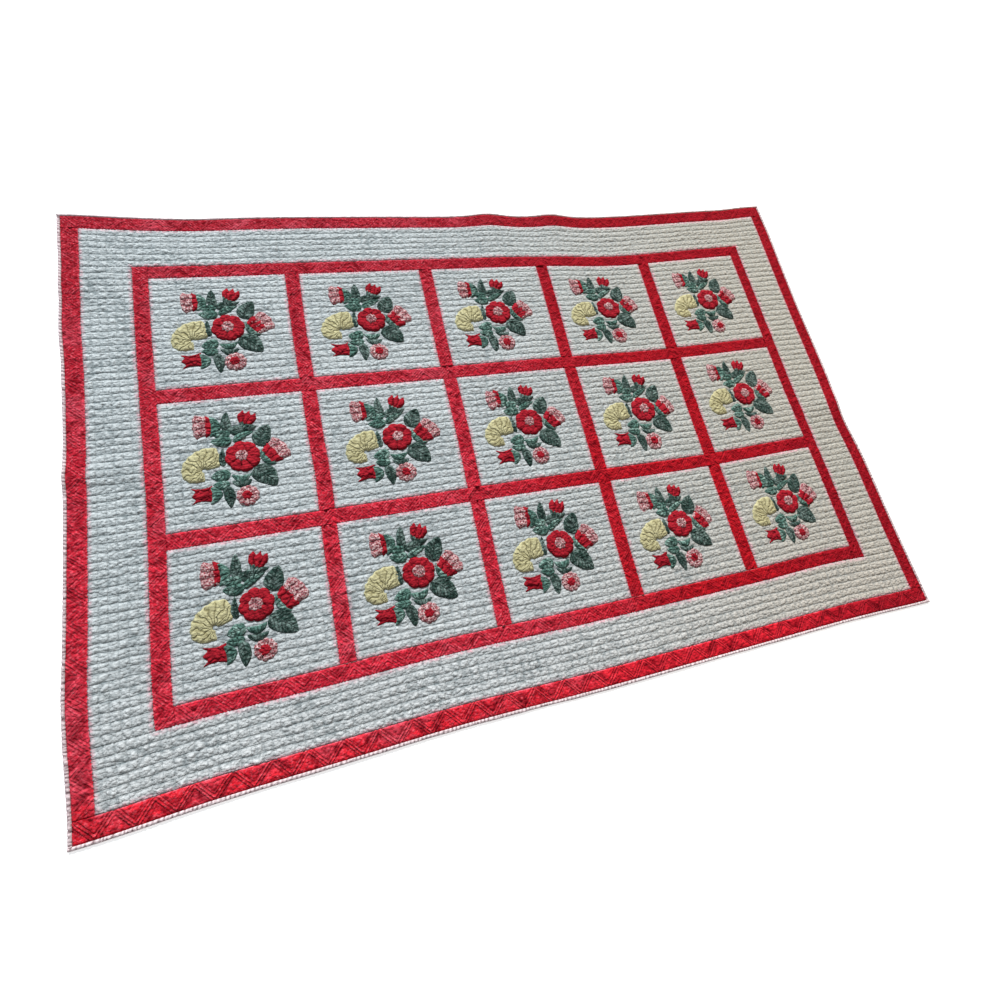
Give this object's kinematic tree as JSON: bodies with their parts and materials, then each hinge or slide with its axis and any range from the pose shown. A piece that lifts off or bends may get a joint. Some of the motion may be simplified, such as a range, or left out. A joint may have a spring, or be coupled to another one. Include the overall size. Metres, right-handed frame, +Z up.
{
  "type": "applique quilt",
  "caption": "Flat rectangular quilt of flower applique blocks in red sashing, with a white border, a red outer band and a rolled binding, for covering a bed.",
  "frame": {"origin": "middle of the quilt's outline, on the plane that its underside lies on", "axes": "+X along the long side, +Y along the short side towards the upper ends of the flower sprays, +Z up out of the patchwork face"},
  "size_m": [2.3862, 1.6102, 0.0133],
  "materials": {
    "white_cotton": "matte woven cotton",
    "red_cotton": "matte woven cotton",
    "binding_cotton": "matte woven cotton",
    "green_cotton": "matte woven cotton",
    "green_print": "small print on matte woven cotton",
    "yellow_cotton": "matte woven cotton",
    "rose_print": "small print on matte woven cotton"
  },
  "bodies": {
    "root": {"band_bottom": "red_cotton", "band_left": "red_cotton", "band_right": "red_cotton", "band_top": "red_cotton", "binding_bottom": "binding_cotton", "binding_left": "binding_cotton", "binding_right": "binding_cotton", "binding_top": "binding_cotton", "block_r1c1": "white_cotton", "block_r1c2": "white_cotton", "block_r1c3": "white_cotton", "block_r1c4": "white_cotton", "block_r1c5": "white_cotton", "block_r2c1": "white_cotton", "block_r2c2": "white_cotton", "block_r2c3": "white_cotton", "block_r2c4": "white_cotton", "block_r2c5": "white_cotton", "block_r3c1": "white_cotton", "block_r3c2": "white_cotton", "block_r3c3": "white_cotton", "block_r3c4": "white_cotton", "block_r3c5": "white_cotton", "border_bottom": "white_cotton", "border_left": "white_cotton", "border_right": "white_cotton", "border_top": "white_cotton", "sash_end_left": "red_cotton", "sash_end_right": "red_cotton", "sash_post_r1c1": "red_cotton", "sash_post_r1c2": "red_cotton", "sash_post_r1c3": "red_cotton", "sash_post_r1c4": "red_cotton", "sash_post_r2c1": "red_cotton", "sash_post_r2c2": "red_cotton", "sash_post_r2c3": "red_cotton", "sash_post_r2c4": "red_cotton", "sash_post_r3c1": "red_cotton", "sash_post_r3c2": "red_cotton", "sash_post_r3c3": "red_cotton", "sash_post_r3c4": "red_cotton", "sash_row_1": "red_cotton", "sash_row_2": "red_cotton", "sash_row_3": "red_cotton", "sash_row_4": "red_cotton", "spray_r1c1": "green_cotton", "spray_r1c2": "green_cotton", "spray_r1c3": "green_cotton", "spray_r1c4": "green_cotton", "spray_r1c5": "green_cotton", "spray_r2c1": "green_cotton", "spray_r2c2": "green_cotton", "spray_r2c3": "green_cotton", "spray_r2c4": "green_cotton", "spray_r2c5": "green_cotton", "spray_r3c1": "green_cotton", "spray_r3c2": "green_cotton", "spray_r3c3": "green_cotton", "spray_r3c4": "green_cotton", "spray_r3c5": "green_cotton"}
  },
  "joints": []
}
